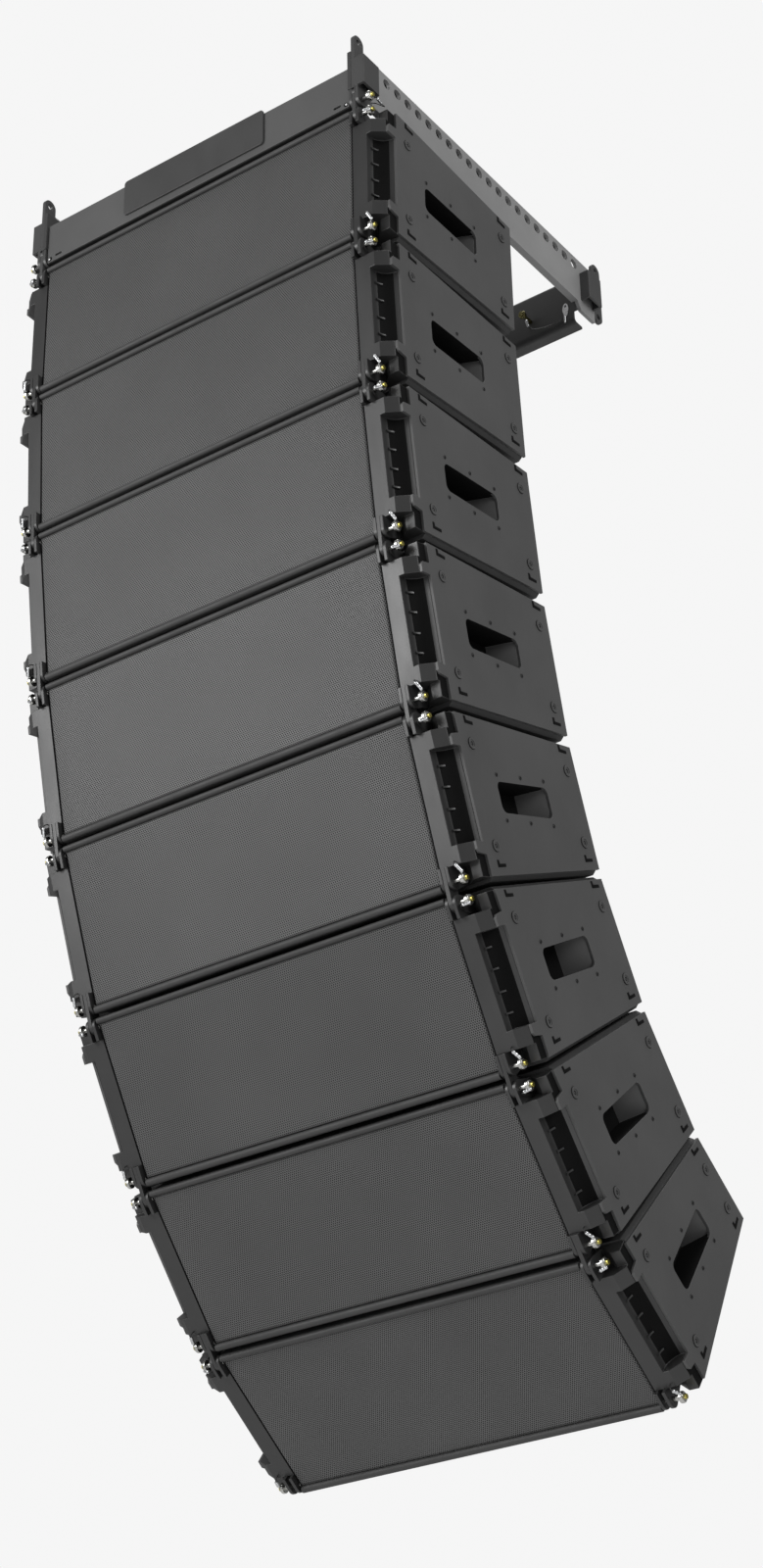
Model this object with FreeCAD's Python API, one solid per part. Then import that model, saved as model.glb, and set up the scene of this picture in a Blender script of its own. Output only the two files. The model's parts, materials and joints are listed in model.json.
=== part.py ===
import FreeCAD, Part
import os
from math import asin, atan2, cos, degrees, hypot, radians, sin

"""Line array speaker: eight wedge-shaped cabinets that hang from a top frame.

Every cabinet is drawn in its own frame: x to the side, u backwards from the front face and v down
from the seam above it, in millimetres. It is then turned about the seam's hinge pins by its splay
angle and hung from the one above. The assembly's origin is on the axis of the frame's pick holes.
"""

# ---- whole array ----
splay_angles = [0.0, 3.5, 4.0, 5.0, 7.5, 10.0, 10.0, 13.5]
wedge_drops = [23.5, 23.5, 23.5, 23.5, 38.0, 38.0, 38.0, 64.5]
pitch = 346.5
half_width = 489.0
plate_depth = 466.0

# ---- cabinet ----
seam_gap = 4.0
board = 15.0
board_front = 2.6
board_rear = 462.0
edge_chamfer_side = 8.0
edge_chamfer_height = 7.5
side_skin = 6.0
skin_inset = 11.5
inner_wall = 412.0
baffle_front = 30.0
rear_panel_front = 440.0
channel_half_width = 30.0
channel_front = 390.0
channel_wall = 6.0

# ---- front lips and grille ----
lip_half_width = 411.0
top_lip_radius = 6.0
bottom_lip_radius = 7.5
grille_half_width = 410.5
grille_sheet = 1.6
grille_return = 24.0

# ---- hinge pins, lugs and link plates at both front edges ----
pin_depth = 6.0
pin_drop = 20.0
pin_radius = 5.0
running_clearance = 0.05
pin_inner_end = 412.5
pin_head_start = 452.0
pin_head_end = 460.0
pin_button_end = 465.0
pin_head_radius = 11.0
pin_button_radius = 5.0
inner_lug = (413.5, 420.5)
link_plate = (421.0, 429.0)
outer_lug = (429.5, 436.5)
lug_radius = 16.0
link_radius = 15.0

# ---- corner casings with hand pockets ----
casing_inner = 413.0
casing_rear = 60.0
casing_top = 47.0
pocket_top = 82.0
pocket_radius = 35.0
recess_depth = 50.0
outer_strip_depth = 27.0
outer_strip_width = 21.0
post_top = 16.0

# ---- side handle ----
handle_u = (147.0, 332.0)
handle_v = (143.0, 204.0)
handle_corner = 14.0
cup_wall = 3.0
cup_depth = 56.0
cup_slope = 26.0

# ---- rear splay bar ----
bar_radius = 465.0
bar_half_band = 14.0
bar_half_thickness = 4.0
bar_bottom_angle = -14.5
bar_bolt_angles = (-8.0, -12.0)
bar_bolt_radius = 4.2
rear_pin_height = 60.0
rear_pin_radius = 6.0
rear_slot_clearance = 0.5
bracket_plate = (4.5, 12.5)
bracket_top = 76.0
bracket_rear = 489.0

# ---- drivers ----
woofer_offset = 240.0
woofer_radius = 134.0
waveguide_half_width = 80.0
waveguide_half_height = 136.0

# ---- top frame ----
rail_outer = 429.0
rail_front = 23.0
rail_rear = 908.0
rail_top = 164.0
rail_bottom = 40.0
rail_flange = (413.0, 421.0)
rail_flange_thickness = 6.0
rail_flange_front = 46.0
rail_flange_rear = 836.0
rail_tail_bottom = 19.0
rail_hole_radius = 12.0
rail_hole_first = 105.2
rail_hole_pitch = 38.1
rail_hole_count = 20
rail_hole_height = 140.0
pick_hole_index = 8
ear_radius = 17.0
ear_hole_radius = 7.5
ear_hole_height = 182.0
rear_ear_depth = 925.0
rear_ear_low_height = 48.0
corner_block_outer = 453.0
corner_block_wall = 6.0
corner_block_height = (50.0, 127.0)
front_block_depth = (-11.0, 45.0)
rear_block_depth = (851.0, 904.0)
beam_half = 412.0
beam_wall = 6.0
front_beam_rear = 36.0
middle_beam_depth = (378.0, 434.0)
rear_beam_depth = (842.0, 878.0)
rear_beam_height = (-9.0, 121.0)
stored_pin_x = 298.0
stored_pin_height = 43.0

part_nodes = {}


# ---- basic shapes in the (x, u, v) frame ----
def point(x, u, v):
    return FreeCAD.Vector(x, u, -v)


def box(x_range, u_range, v_range):
    size = [high - low for low, high in (x_range, u_range, v_range)]
    return Part.makeBox(size[0], size[1], size[2], point(x_range[0], u_range[0], v_range[1]))


def face_of(points):
    return Part.Face(Part.makePolygon(points + points[:1]))


def plate_x(outline, x_range):
    """Plate with a (u, v) outline and its thickness along x."""
    face = face_of([point(x_range[0], u, v) for u, v in outline])
    return face.extrude(FreeCAD.Vector(x_range[1] - x_range[0], 0, 0))


def post_v(outline, v_range):
    """Upright post with an (x, u) outline."""
    face = face_of([point(x, u, v_range[1]) for x, u in outline])
    return face.extrude(FreeCAD.Vector(0, 0, v_range[1] - v_range[0]))


def rod_x(u, v, radius, x_range):
    return Part.makeCylinder(radius, x_range[1] - x_range[0], point(x_range[0], u, v), FreeCAD.Vector(1, 0, 0))


def rod_u(x, v, radius, u_range):
    return Part.makeCylinder(radius, u_range[1] - u_range[0], point(x, u_range[0], v), FreeCAD.Vector(0, 1, 0))


def cone_u(x, v, radii, u_range):
    length = u_range[1] - u_range[0]
    return Part.makeCone(radii[0], radii[1], length, point(x, u_range[0], v), FreeCAD.Vector(0, 1, 0))


def rod_v(x, u, radius, v_range):
    return Part.makeCylinder(radius, v_range[1] - v_range[0], point(x, u, v_range[1]), FreeCAD.Vector(0, 0, 1))


def mirrored(shape):
    return shape.mirror(FreeCAD.Vector(0, 0, 0), FreeCAD.Vector(1, 0, 0))


def both_sides(shapes):
    return shapes + [mirrored(shape) for shape in shapes]


def capsule_x(start, end, radius, x_range):
    """Plate whose outline is a stadium from one (u, v) centre to the other."""
    length = hypot(end[0] - start[0], end[1] - start[1])
    bar = Part.makeBox(x_range[1] - x_range[0], length, 2 * radius, FreeCAD.Vector(x_range[0], 0, -radius))
    angle = degrees(atan2(-(end[1] - start[1]), end[0] - start[0]))
    bar.rotate(FreeCAD.Vector(0, 0, 0), FreeCAD.Vector(1, 0, 0), angle)
    bar.translate(point(0, start[0], start[1]))
    ends = [rod_x(u, v, radius, x_range) for u, v in (start, end)]
    return bar.fuse(ends).removeSplitter()


def rounded_slot_x(u_range, v_range, radius, x_range):
    """Prism along x with a rounded rectangular outline."""
    prism = box(x_range, u_range, v_range)
    upright = [edge for edge in prism.Edges if abs(edge.tangentAt(0).x) > 0.99]
    return prism.makeFillet(radius, upright)


# ---- the wedge shape of one cabinet ----
def wedge_edge(drop, inset, u):
    """Depth below the seam of a line that starts at the inset and follows the cabinet's slope."""
    return inset + drop * u / plate_depth


def wedge_profile(drop, inset, u_front, u_rear):
    top_front = wedge_edge(drop, inset, u_front)
    top_rear = wedge_edge(drop, inset, u_rear)
    return [(u_front, top_front), (u_rear, top_rear), (u_rear, pitch - top_rear), (u_front, pitch - top_front)]


def inner_wedge(drop, half, u_front, u_rear):
    """Space between the top and bottom boards."""
    return plate_x(wedge_profile(drop, seam_gap + board, u_front, u_rear), (-half, half))


def flipped(shape):
    """The same shape at the other end of the cabinet, upside down about its mid height."""
    return shape.mirror(point(0, 0, pitch / 2), FreeCAD.Vector(0, 0, 1))


# ---- cabinet node ----
def top_board(drop):
    half = half_width - side_skin
    outline = [
        (board_front, wedge_edge(drop, seam_gap, board_front)),
        (board_rear, wedge_edge(drop, seam_gap, board_rear)),
        (board_rear, wedge_edge(drop, seam_gap + board, board_rear)),
        (board_front, wedge_edge(drop, seam_gap + board, board_front)),
    ]
    shape = plate_x(outline, (-half, half))
    chamfer = [
        (half + 1, edge_chamfer_height + 1),
        (half + 1, -1),
        (half - edge_chamfer_side - 1, -1),
        (half - edge_chamfer_side, 0),
        (half, edge_chamfer_height),
    ]
    start = wedge_edge(drop, seam_gap, 0)
    end = wedge_edge(drop, seam_gap, plate_depth)
    direction = point(0, plate_depth, end) - point(0, 0, start)
    corner = face_of([point(x, 0, start + v) for x, v in chamfer]).extrude(direction)
    notch = box((inner_wall, half + 1), (0, casing_rear), (0, 60))
    channel = box((-channel_half_width, channel_half_width), (channel_front, plate_depth), (0, 120))
    return shape.cut([corner, mirrored(corner), notch, mirrored(notch), channel])


def front_lip(radius):
    low = seam_gap
    bar = box((-lip_half_width, lip_half_width), (0, board_front), (low, low + 2 * radius))
    nose = rod_x(0, low + radius, radius, (-lip_half_width, lip_half_width))
    behind = box((-lip_half_width, lip_half_width), (0, radius + 1), (low - 1, low + 2 * radius + 1))
    return nose.cut(behind).fuse(bar).removeSplitter()


def baffle(drop):
    sheet = box((-inner_wall + board, inner_wall - board), (baffle_front, baffle_front + board), (0, pitch))
    sheet = sheet.common(inner_wedge(drop, half_width, baffle_front, baffle_front + board))
    holes = [rod_u(side * woofer_offset, pitch / 2, 122.0, (0, 100)) for side in (-1, 1)]
    mouth = box((-waveguide_half_width, waveguide_half_width), (0, 100),
                (pitch / 2 - waveguide_half_height, pitch / 2 + waveguide_half_height))
    return sheet.cut(holes + [mouth])


def side_wall(drop):
    wall = inner_wedge(drop, half_width, baffle_front, rear_panel_front)
    return wall.common(box((inner_wall - board, inner_wall), (0, plate_depth), (0, pitch)))


def rear_panel(drop):
    panel = inner_wedge(drop, half_width, rear_panel_front, rear_panel_front + board)
    return panel.common(box((channel_half_width, half_width - side_skin), (0, plate_depth), (0, pitch)))


def rear_channel(drop):
    """Open-ended channel in the middle of the rear panel, where the splay bars pass."""
    full = inner_wedge(drop, channel_half_width, channel_front, rear_panel_front + board)
    inside = channel_half_width - channel_wall
    return full.cut(box((-inside, inside), (channel_front + channel_wall, plate_depth), (0, pitch)))


def cabinet(drop):
    lid = top_board(drop)
    lower_lip = flipped(front_lip(bottom_lip_radius))
    walls = both_sides([side_wall(drop), rear_panel(drop)])
    return [lid, flipped(lid), front_lip(top_lip_radius), lower_lip, baffle(drop), rear_channel(drop)] + walls


# ---- side plate node ----
def side_plate(drop):
    top_front = wedge_edge(drop, skin_inset, 50)
    top_rear = wedge_edge(drop, skin_inset, plate_depth)
    upper = [
        (50, top_front), (50, 57), (26, 60), (21, 66), (21, pocket_top), (pocket_radius + 12, pocket_top),
    ]
    lower = [(u, pitch - v) for u, v in reversed(upper)]
    outline = upper + lower + [(plate_depth, pitch - top_rear), (plate_depth, top_rear)]
    skin = plate_x(outline, (half_width - side_skin, half_width))
    cut = rounded_slot_x(handle_u, handle_v, handle_corner, (half_width - 20, half_width + 5))
    return skin.cut(cut)


def handle_cup():
    """Tray behind the hand hole: its floor rises to the plate at the rear end."""
    back = half_width - side_skin
    low_u, high_u = handle_u
    low_v, high_v = handle_v

    def tray(grow, depth):
        outline = [
            (back, low_u - grow), (back - depth, low_u - grow),
            (back - depth, high_u + grow - cup_slope), (back, high_u + grow),
        ]
        return post_v(outline, (low_v - grow, high_v + grow))

    flange = box((back - cup_wall, back), (low_u - 16, high_u + 16), (low_v - 16, high_v + 16))
    shell = tray(cup_wall, cup_depth).fuse(flange)
    return shell.cut(tray(0, cup_depth - cup_wall)).removeSplitter()


def ring_bolt(u, v):
    """Flanged bolt: a low ring round a sunk hexagon socket."""
    ring = rod_x(u, v, 11.0, (half_width, half_width + 2.5))
    ring = ring.cut(rod_x(u, v, 7.5, (half_width + 1.0, half_width + 3)))
    return ring.cut(rod_x(u, v, 4.0, (half_width + 0.4, half_width + 3)))


def bolt_places(drop):
    rear_v = 63.0 + drop
    return [(88.0, 75.0), (88.0, pitch - 75.0), (430.0, rear_v), (430.0, pitch - rear_v)]


def side_plates(drop):
    one_side = [side_plate(drop), handle_cup()]
    one_side += [ring_bolt(u, v) for u, v in bolt_places(drop)]
    return both_sides(one_side)


# ---- grille node ----
def grille():
    low = seam_gap + 2 * top_lip_radius + 0.5
    high = pitch - seam_gap - 2 * bottom_lip_radius - 0.5
    front = 0.8
    sheet = box((-grille_half_width, grille_half_width), (front, front + grille_sheet), (low, high))
    fold = box((grille_half_width - grille_sheet, grille_half_width), (front, grille_return), (low, high))
    pin_relief = box((grille_half_width - 5, grille_half_width + 5), (front + grille_sheet, grille_return + 1),
                     (0, pin_drop + pin_radius + 3))
    fold = fold.cut([pin_relief, flipped(pin_relief)])
    return [sheet.fuse([fold, mirrored(fold)]).removeSplitter()]


# ---- rigging node ----
def casing():
    """Corner casing between the two pin recesses, with the hand pocket scooped out of its edge."""
    outer = half_width - side_skin
    block = [
        (casing_inner, 2), (460, 2), (outer, 20), (outer, casing_rear), (casing_inner, casing_rear),
    ]
    body = post_v(block, (casing_top, pitch - casing_top))
    pocket = (pocket_top, pitch - pocket_top)
    scoop = rod_v(outer, 12, pocket_radius, pocket)
    mouth = box((outer - pocket_radius, outer + 1), (0, 12), pocket)
    strip = [
        (outer - outer_strip_width, outer_strip_depth), (outer, outer_strip_depth), (outer, casing_rear),
        (casing_inner, casing_rear), (casing_inner, recess_depth), (outer_lug[1] + 1, recess_depth),
    ]
    post = post_v(strip, (post_top, casing_top))
    return body.cut([scoop, mouth]).fuse([post, flipped(post)]).removeSplitter()


def lug(x_range, rear):
    """Pin lug above the hinge line of a cabinet's top end."""
    eye = rod_x(pin_depth, pin_drop, lug_radius, x_range)
    web = [
        (pin_depth - lug_radius, pin_drop), (pin_depth - lug_radius, casing_top), (rear, casing_top),
        (rear, post_top), (pin_depth + 4, pin_drop - 15.49),
    ]
    hole = rod_x(pin_depth, pin_drop, pin_radius + running_clearance, (x_range[0] - 1, x_range[1] + 1))
    return eye.fuse(plate_x(web, x_range)).removeSplitter().cut(hole)


def link():
    """Plate from a cabinet's lower pins to the hinge pins of the one below."""
    start = (pin_depth, pitch - pin_drop)
    end = (pin_depth, pitch + pin_drop)
    shape = capsule_x(start, end, link_radius, link_plate)
    tail = box(link_plate, (pin_depth - link_radius, pin_depth + link_radius),
               (pitch - casing_top, pitch - pin_drop))
    slot = capsule_x((pin_depth - 4, pitch - casing_top + 6), (pin_depth + 4, pitch - casing_top + 6), 3.0,
                     (link_plate[0] - 1, link_plate[1] + 1))
    holes = [rod_x(u, v, pin_radius + running_clearance, (link_plate[0] - 1, link_plate[1] + 1))
             for u, v in (start, end)]
    return shape.fuse(tail).removeSplitter().cut(holes + [slot])


def pin_elevation():
    """Elevation, in degrees, of the rear pin as seen from the hinge pins below it."""
    return degrees(asin((rear_pin_height + pin_drop) / bar_radius))


def arc_point(elevation):
    """(u, v) on the splay bar's arc about the cabinet's own hinge pins."""
    angle = radians(elevation)
    return pin_depth + bar_radius * cos(angle), pin_drop - bar_radius * sin(angle)


def rear_pin_point():
    u, v = arc_point(pin_elevation())
    return u, v + pitch


def arc_band(inner, outer, low_angle, high_angle, x_range):
    """Curved strip about the cabinet's own hinge pins, between two elevations in degrees."""
    def at(radius, angle):
        angle = radians(angle)
        return point(x_range[0], pin_depth + radius * cos(angle), pin_drop - radius * sin(angle))

    middle = (low_angle + high_angle) / 2
    edges = [
        Part.Arc(at(outer, low_angle), at(outer, middle), at(outer, high_angle)).toShape(),
        Part.makeLine(at(outer, high_angle), at(inner, high_angle)),
        Part.Arc(at(inner, high_angle), at(inner, middle), at(inner, low_angle)).toShape(),
        Part.makeLine(at(inner, low_angle), at(outer, low_angle)),
    ]
    face = Part.Face(Part.Wire(edges))
    return face.extrude(FreeCAD.Vector(x_range[1] - x_range[0], 0, 0))


def splay_bar():
    """Slotted bar that follows the hinge arc, bolted to its own cabinet's rear bracket."""
    thickness = (-bar_half_thickness, bar_half_thickness)
    high = pin_elevation() + 2.2
    band = arc_band(bar_radius - bar_half_band, bar_radius + bar_half_band, bar_bottom_angle, high, thickness)
    half_slot = rear_pin_radius + rear_slot_clearance
    wide = (-bar_half_thickness - 1, bar_half_thickness + 1)
    slot_ends = (pin_elevation() - max(splay_angles) - 0.4, pin_elevation() + 0.4)
    slot = arc_band(bar_radius - half_slot, bar_radius + half_slot, slot_ends[0], slot_ends[1], wide)
    rounds = [rod_x(*arc_point(angle), half_slot, wide) for angle in slot_ends]
    holes = [rod_x(*arc_point(angle), bar_bolt_radius, wide) for angle in bar_bolt_angles]
    return band.cut([slot] + rounds + holes)


def rear_bracket(drop):
    """Two cheek plates in the rear channel, with the pin that runs in the next bar's slot."""
    bottom = pitch - max(46.0, wedge_edge(drop, seam_gap, bracket_rear) + 3)
    foot = channel_front + channel_wall
    outline = [(foot, bracket_top), (470, bracket_top), (bracket_rear, bracket_top + 18),
               (bracket_rear, bottom - 14), (475, bottom), (foot, bottom)]
    cheek = plate_x(outline, bracket_plate)
    window = capsule_x((440, 190), (440, 230), 14, (0, 20))
    reach = (-bracket_plate[1] - 1, bracket_plate[1] + 1)
    bolt_holes = [rod_x(*arc_point(angle), bar_bolt_radius, reach) for angle in bar_bolt_angles]
    pin_u, pin_v = rear_pin_point()
    pin_hole = rod_x(pin_u, pin_v, rear_pin_radius, reach)
    cheek = cheek.cut([window, pin_hole] + bolt_holes)
    bolts = [rear_bolt(*arc_point(angle)) for angle in bar_bolt_angles]
    return [cheek, mirrored(cheek), rear_pin(pin_u, pin_v)] + bolts


def rear_pin(u, v):
    outer = bracket_plate[1]
    shank = rod_x(u, v, rear_pin_radius, (-outer - 4, outer))
    return shank.fuse(rod_x(u, v, 10.0, (outer, outer + 5))).removeSplitter()


def rear_bolt(u, v):
    outer = bracket_plate[1]
    shank = rod_x(u, v, bar_bolt_radius, (-outer, outer))
    heads = [rod_x(u, v, 6.5, (outer, outer + 4)), rod_x(u, v, 6.5, (-outer - 4, -outer))]
    return shank.fuse(heads).removeSplitter()


def rigging(drop, has_link):
    upper_lugs = [lug(inner_lug, recess_depth), lug(outer_lug, recess_depth)]
    one_side = [casing()] + upper_lugs + [flipped(piece) for piece in upper_lugs]
    if has_link:
        one_side.append(link())
    return both_sides(one_side) + [splay_bar()] + rear_bracket(drop)


# ---- drivers node ----
def woofer(x):
    flange_u = baffle_front + board
    v = pitch / 2
    flange = rod_u(x, v, woofer_radius, (flange_u, flange_u + 5))
    basket = cone_u(x, v, (118.0, 62.0), (flange_u + 5, flange_u + 75))
    magnet = rod_u(x, v, 72.0, (flange_u + 75, flange_u + 115))
    bowl = cone_u(x, v, (112.0, 34.0), (flange_u - 1, flange_u + 66))
    cap = Part.makeSphere(34.0, point(x, flange_u + 82, v)).cut(
        box((x - 60, x + 60), (flange_u + 66, flange_u + 200), (v - 60, v + 60)))
    return flange.fuse([basket, magnet]).cut(bowl).fuse(cap).removeSplitter()


def waveguide():
    u_mouth, u_throat = baffle_front, baffle_front + 130
    middle = pitch / 2

    def section(u, half_x, half_v):
        corners = [(-half_x, middle - half_v), (half_x, middle - half_v),
                   (half_x, middle + half_v), (-half_x, middle + half_v)]
        return Part.makePolygon([point(x, u, v) for x, v in corners + corners[:1]])

    outer = Part.makeLoft([section(u_mouth, waveguide_half_width - 0.5, waveguide_half_height - 0.5),
                           section(u_throat, 38, 104)], True, True)
    inner = Part.makeLoft([section(u_mouth - 1, waveguide_half_width - 5, waveguide_half_height - 5),
                           section(u_throat - 6, 12, 98)], True, True)
    return outer.cut(inner)


def compression_drivers():
    start = baffle_front + 130
    rear = start + 62
    return [rod_u(0, pitch / 2 + offset, 33.0, (start, rear)) for offset in (-68, 0, 68)]


def connector_panel():
    face = rear_panel_front + board
    plate = box((150, 290), (face, face + 3), (pitch / 2 - 45, pitch / 2 + 45))
    sockets = [rod_u(x, pitch / 2 + dv, 13.0, (face + 3, face + 6)) for x in (185, 255) for dv in (-20, 20)]
    wells = [rod_u(x, pitch / 2 + dv, 9.5, (face + 4, face + 7)) for x in (185, 255) for dv in (-20, 20)]
    return plate.fuse(sockets).cut(wells).removeSplitter()


def drivers():
    return [woofer(-woofer_offset), woofer(woofer_offset), waveguide(), connector_panel()] + compression_drivers()


# ---- quick-release pins ----
def quick_pin(v):
    shank = rod_x(pin_depth, v, pin_radius, (pin_inner_end, pin_head_start))
    head = rod_x(pin_depth, v, pin_head_radius, (pin_head_start, pin_head_end))
    rim = [edge for edge in head.Edges if abs(edge.CenterOfMass.x - pin_head_end) < 0.1 and edge.Closed]
    head = head.makeChamfer(2.0, rim)
    button = rod_x(pin_depth, v, pin_button_radius, (pin_head_end, pin_button_end))
    return shank.fuse([head, button]).removeSplitter()


# ---- top frame ----
def frame_rail():
    """Side plate with a row of pick holes, a folded foot along its lower edge and a deeper tail."""
    outline = [
        (rail_front, -rail_top), (rail_rear, -rail_top), (rail_rear, -rail_tail_bottom - 1),
        (rail_rear - 13, -rail_tail_bottom), (rail_flange_rear + 14, -rail_tail_bottom),
        (rail_flange_rear, -rail_bottom), (rail_front, -rail_bottom),
    ]
    web = plate_x(outline, link_plate)
    flange_u = (rail_flange_front, rail_flange_rear)
    foot = box(rail_flange, flange_u, (-rail_bottom - rail_flange_thickness, -rail_bottom))
    lip = box(rail_flange, flange_u, (-rail_top, -rail_top + rail_flange_thickness))
    holes = []
    for index in range(rail_hole_count):
        u = rail_hole_first + index * rail_hole_pitch
        holes.append(rod_x(u, -rail_hole_height, rail_hole_radius, (rail_flange[0] - 1, rail_outer + 1)))
    return web.fuse([foot, lip]).removeSplitter().cut(holes)


def front_beam():
    """Square tube behind the fascia, with an upright cheek at each end."""
    tube = box((-beam_half, beam_half), (2, front_beam_rear), (-108, -12))
    tube = tube.cut(box((-beam_half - 1, beam_half + 1), (8, front_beam_rear - beam_wall), (-102, -18)))
    cheeks = both_sides([box((beam_half, link_plate[0]), (-12, front_beam_rear), (-150, -casing_top))])
    return tube.fuse(cheeks).removeSplitter()


def middle_beam():
    foot_top = -rail_bottom - rail_flange_thickness
    front, rear = middle_beam_depth
    tube = box((-beam_half, beam_half), middle_beam_depth, (-108, foot_top))
    hollow_u = (front + beam_wall, rear - beam_wall)
    hollow = box((-beam_half - 1, beam_half + 1), hollow_u, (-108 + beam_wall, foot_top - beam_wall))
    feet = both_sides([box((beam_half, link_plate[0]), middle_beam_depth, (-108, foot_top))])
    return tube.cut(hollow).fuse(feet).removeSplitter()


def rear_beam():
    """Channel with rounded bends and its flanges to the rear, and holes for two stored pins."""
    front, rear = rear_beam_depth
    low, high = rear_beam_height
    outer = box((-beam_half, beam_half), (front, rear), (-high, -low))
    bends = [edge for edge in outer.Edges
             if abs(edge.tangentAt(0).x) > 0.99 and edge.CenterOfMass.y < front + 1]
    outer = outer.makeFillet(14.0, bends)
    inner_v = (-high + beam_wall, -low - beam_wall)
    inner = box((-beam_half - 1, beam_half + 1), (front + beam_wall, rear + 2), inner_v)
    bends = [edge for edge in inner.Edges
             if abs(edge.tangentAt(0).x) > 0.99 and edge.CenterOfMass.y < front + beam_wall + 1]
    inner = inner.makeFillet(8.0, bends)
    hole_radius = pin_radius + running_clearance
    holes = both_sides([rod_u(stored_pin_x, -stored_pin_height, hole_radius, (front - 2, front + 8))])
    foot_v = (-high + beam_wall, -rail_tail_bottom - 3)
    feet = both_sides([box((beam_half, link_plate[0]), (front, front + beam_wall), foot_v)])
    return outer.cut([inner] + holes).fuse(feet).removeSplitter()


def stored_pin():
    """Spare quick-release pin pushed into the rear beam from the front."""
    front = rear_beam_depth[0]
    shank = rod_u(stored_pin_x, -stored_pin_height, pin_radius, (front - 29, front + 16))
    head = rod_u(stored_pin_x, -stored_pin_height, 9.0, (front - 37, front - 29))
    button = rod_u(stored_pin_x, -stored_pin_height, 4.5, (front - 42, front - 37))
    return shank.fuse([head, button]).removeSplitter()


def frame_bracket():
    """Cheek plates on the middle beam that hold the first cabinet's splay bar."""
    front = middle_beam_depth[1]
    outline = [(front, -88), (475, -88), (bracket_rear, -72), (bracket_rear, -40), (475, -26), (front, -26)]
    cheek = plate_x(outline, bracket_plate)
    pin_u, pin_v = rear_pin_point()
    pin_v -= pitch
    hole = rod_x(pin_u, pin_v, rear_pin_radius, (-20, 20))
    cheek = cheek.cut(hole)
    return [cheek, mirrored(cheek), rear_pin(pin_u, pin_v)]


def fascia():
    panel = box((-lip_half_width, lip_half_width), (-5, 0), (-112, -8))
    slots = [box((side * 380 - 9, side * 380 + 9), (-6, 1), (-24, -18)) for side in (-1, 1)]
    panel = panel.cut(slots)
    badge = rounded_badge()
    return [panel, badge]


def rounded_badge():
    plate = box((-190, 190), (-10, -5), (-120, -26))
    corners = [edge for edge in plate.Edges if abs(edge.tangentAt(0).y) > 0.99]
    return plate.makeFillet(8.0, corners)


def ear_plate(u, ends, radius, holes):
    plate = capsule_x((u, ends[0]), (u, ends[1]), radius, link_plate)
    return plate.cut([rod_x(u, v, hole, (link_plate[0] - 1, link_plate[1] + 1)) for v, hole in holes])


def corner_block(u_range):
    """Welded cap on the outer face of the side plate, open at the bottom."""
    low, high = corner_block_height
    block = box((rail_outer, corner_block_outer), u_range, (-high, -low))
    edges = [edge for edge in block.Edges
             if abs(edge.CenterOfMass.x - corner_block_outer) < 0.1 and abs(edge.tangentAt(0).z) > 0.99]
    block = block.makeFillet(2.5, edges)
    inner_u = (u_range[0] + corner_block_wall, u_range[1] - corner_block_wall)
    return block.cut(box((rail_outer - 1, corner_block_outer - corner_block_wall), inner_u,
                         (-high + corner_block_wall, -low + 1)))


def frame_lug(x_range):
    """Lug above the first seam, under the corner block."""
    shape = lug(x_range, front_beam_rear)
    shape = shape.mirror(FreeCAD.Vector(0, 0, 0), FreeCAD.Vector(0, 0, 1))
    return shape


def front_ear():
    """Ear above the front corner, in one plate with the eyes of the first hinge pins."""
    close = pin_radius + running_clearance
    upper = ear_plate(pin_depth, (-ear_hole_height, -rail_bottom), ear_radius, [(-ear_hole_height, ear_hole_radius)])
    lower = ear_plate(pin_depth, (-rail_bottom, pin_drop), link_radius, [(-pin_drop, close), (pin_drop, close)])
    return upper.fuse(lower).removeSplitter().cut(
        rod_x(pin_depth, -pin_drop, close, (link_plate[0] - 1, link_plate[1] + 1)))


def front_corner():
    """Front corner cap with the outer lug plate that runs up inside it."""
    stem_top = corner_block_height[1] - corner_block_wall / 2
    stem = box(outer_lug, (pin_depth - lug_radius, front_beam_rear), (-stem_top, -casing_top))
    return corner_block(front_block_depth).fuse([stem, frame_lug(outer_lug)]).removeSplitter()


def frame_fittings():
    rear_ear = ear_plate(rear_ear_depth, (-ear_hole_height, -rear_ear_low_height), ear_radius,
                         [(-ear_hole_height, ear_hole_radius), (-rear_ear_low_height, ear_hole_radius)])
    one_side = [front_ear(), rear_ear, front_corner(), corner_block(rear_block_depth),
                frame_lug(inner_lug), quick_pin(-pin_drop), stored_pin()]
    return both_sides(one_side) + frame_bracket()


# ---- assembly ----
def hung(shapes, level):
    """Move shapes from the frame of one level (0 is the top frame) into the assembly's frame."""
    moved = []
    for shape in shapes:
        shape = shape.copy()
        for parent in range(level, 0, -1):
            shape.translate(point(0, 0, pitch if parent > 1 else 0))
            hinge_v = (pitch if parent > 1 else 0) + pin_drop
            shape.rotate(point(0, pin_depth, hinge_v), FreeCAD.Vector(1, 0, 0), splay_angles[parent - 1])
        shape.translate(FreeCAD.Vector(0, -pick_u, -rail_hole_height))
        moved.append(shape)
    return moved


def add_node(name, shapes, level):
    part_nodes[name] = Part.makeCompound(hung(shapes, level))


pick_u = rail_hole_first + pick_hole_index * rail_hole_pitch

rail = frame_rail()
add_node("frame_rails", [rail, mirrored(rail)], 0)
add_node("frame_crossbeams", [front_beam(), middle_beam(), rear_beam()], 0)
add_node("frame_fascia", fascia(), 0)
add_node("frame_fittings", frame_fittings(), 0)

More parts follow.
